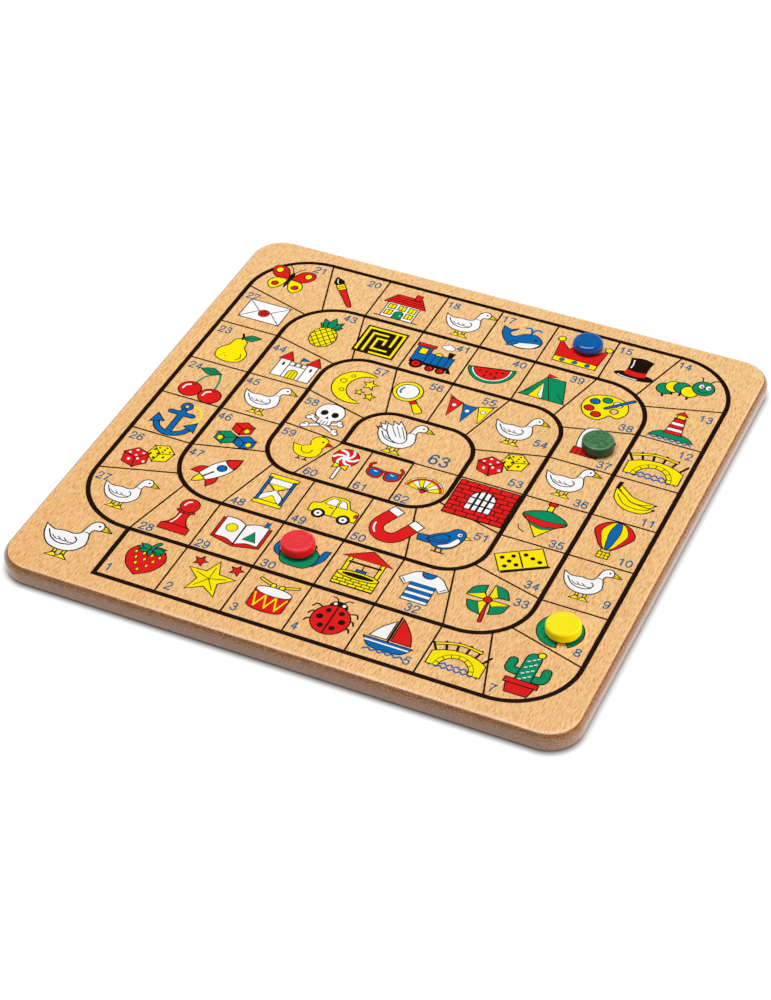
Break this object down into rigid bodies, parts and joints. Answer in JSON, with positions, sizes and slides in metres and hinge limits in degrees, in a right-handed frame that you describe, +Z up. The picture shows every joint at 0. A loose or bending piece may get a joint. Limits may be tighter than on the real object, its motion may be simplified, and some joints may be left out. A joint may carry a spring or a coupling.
{
  "type": "wooden race game board with counters",
  "caption": "Square veneered fibreboard game board with rounded rim and a numbered spiral track, with round lacquered counters that slide along its lanes.",
  "frame": {"origin": "middle of the underside, on the surface that the board lies on", "axes": "+Z up out of the playing face; +X along the front edge to the right and +Y to the back edge, as the numbers on the front row read"},
  "size_m": [0.4, 0.4, 0.0221],
  "materials": {
    "fibreboard": "rounded and sanded fibreboard edge under clear satin lacquer",
    "beech_top": "clear satin lacquer over beech veneer, printed",
    "beech_bottom": "clear satin lacquer over beech veneer",
    "red_lacquer": "satin red lacquer",
    "blue_lacquer": "gloss blue lacquer",
    "green_lacquer": "worn satin green lacquer",
    "yellow_lacquer": "satin yellow lacquer",
    "ink_black": "satin black screen-printing ink",
    "ink_white": "satin white screen-printing ink",
    "ink_red": "satin red screen-printing ink",
    "ink_yellow": "satin yellow screen-printing ink",
    "ink_green": "satin green screen-printing ink",
    "ink_blue": "satin blue screen-printing ink",
    "ink_slate": "satin slate-blue screen-printing ink"
  },
  "bodies": {
    "board": {"board_core": "fibreboard", "top_veneer": "beech_top", "bottom_veneer": "beech_bottom"},
    "red": {"red_counter": "red_lacquer"},
    "blue": {"blue_counter": "blue_lacquer"},
    "green": {"green_counter": "green_lacquer"},
    "yellow": {"yellow_counter": "yellow_lacquer"}
  },
  "joints": [
    {"name": "red_slide", "type": "slide", "parent": "board", "child": "red", "axis": [1, 0, 0], "range_m": [-0.0891, 0.0901]},
    {"name": "blue_slide", "type": "slide", "parent": "board", "child": "blue", "axis": [1, 0, 0], "range_m": [-0.1836, 0.0422]},
    {"name": "green_slide", "type": "slide", "parent": "board", "child": "green", "axis": [0, 1, 0], "range_m": [-0.1315, 0.0011]},
    {"name": "yellow_slide", "type": "slide", "parent": "board", "child": "yellow", "axis": [0, 1, 0], "range_m": [-0.002, 0.2239]}
  ]
}
